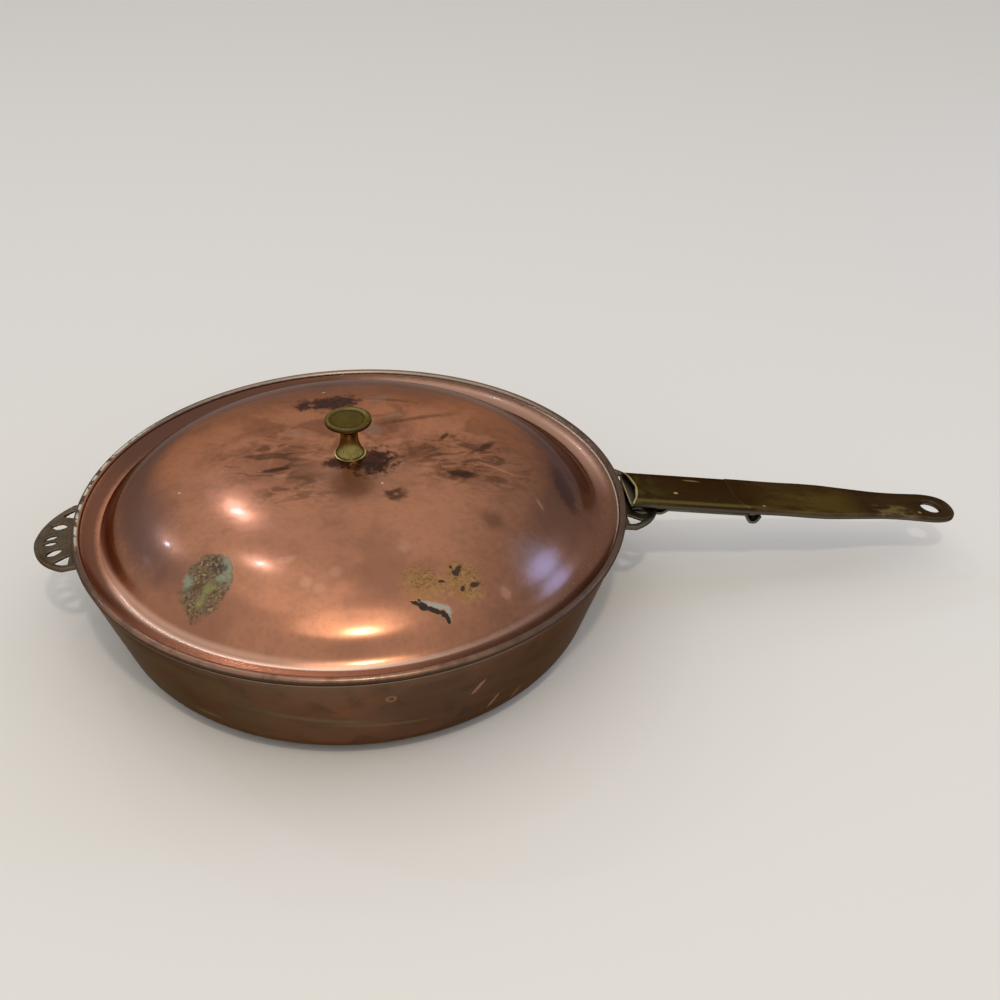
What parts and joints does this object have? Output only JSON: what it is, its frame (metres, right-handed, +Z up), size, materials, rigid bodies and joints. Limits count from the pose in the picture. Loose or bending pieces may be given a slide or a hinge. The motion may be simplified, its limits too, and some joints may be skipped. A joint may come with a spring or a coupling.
{
  "type": "lidded skillet",
  "caption": "Round copper skillet with a loose domed lid, brass knob, pierced side lugs and a slip-on brass handle.",
  "frame": {"origin": "middle of the pan's flat base, on the surface it stands on", "axes": "+Z up, +X from the pan's middle along the handle in plan, +Y to the left of the handle seen from above"},
  "size_m": [0.5348, 0.305, 0.1229],
  "materials": {
    "copper_body": "aged copper, darkened, tinned inside",
    "copper_lid": "aged copper, worn polish, stained",
    "copper_rivet": "hammered copper rivet",
    "iron_wire": "drawn iron wire",
    "brass_lug": "cast brass, dull grey-green patina",
    "brass_knob": "turned brass, worn",
    "brass_handle": "brass, dark brown patina",
    "strap_metal": "spring strip, dull grey-green"
  },
  "bodies": {
    "pan": {"pan_body": "copper_body", "lug_right": "brass_lug", "lug_right_rivet_1": "copper_rivet", "lug_right_rivet_2": "copper_rivet", "lug_right_rivet_3": "copper_rivet", "lug_left": "brass_lug", "lug_left_rivet_1": "copper_rivet", "lug_left_rivet_2": "copper_rivet", "lug_left_rivet_3": "copper_rivet"},
    "lid": {"lid_shell": "copper_lid", "lid_rim_wire": "iron_wire", "knob_collar": "brass_knob", "knob": "brass_knob", "knob_washer": "copper_rivet", "knob_shank": "copper_rivet"},
    "handle": {"handle_socket": "brass_handle", "handle_grip": "brass_handle", "handle_liner": "strap_metal", "handle_strap": "strap_metal", "handle_rivet_front": "brass_handle", "handle_rivet_rear": "brass_handle"}
  },
  "joints": [
    {"name": "lid_lift", "type": "slide", "parent": "pan", "child": "lid", "axis": [0, 0, 1], "range_m": [0, 0.06]},
    {"name": "handle_pull", "type": "slide", "parent": "pan", "child": "handle", "axis": [0.9877, 0, -0.1564], "range_m": [0, 0.03]}
  ]
}
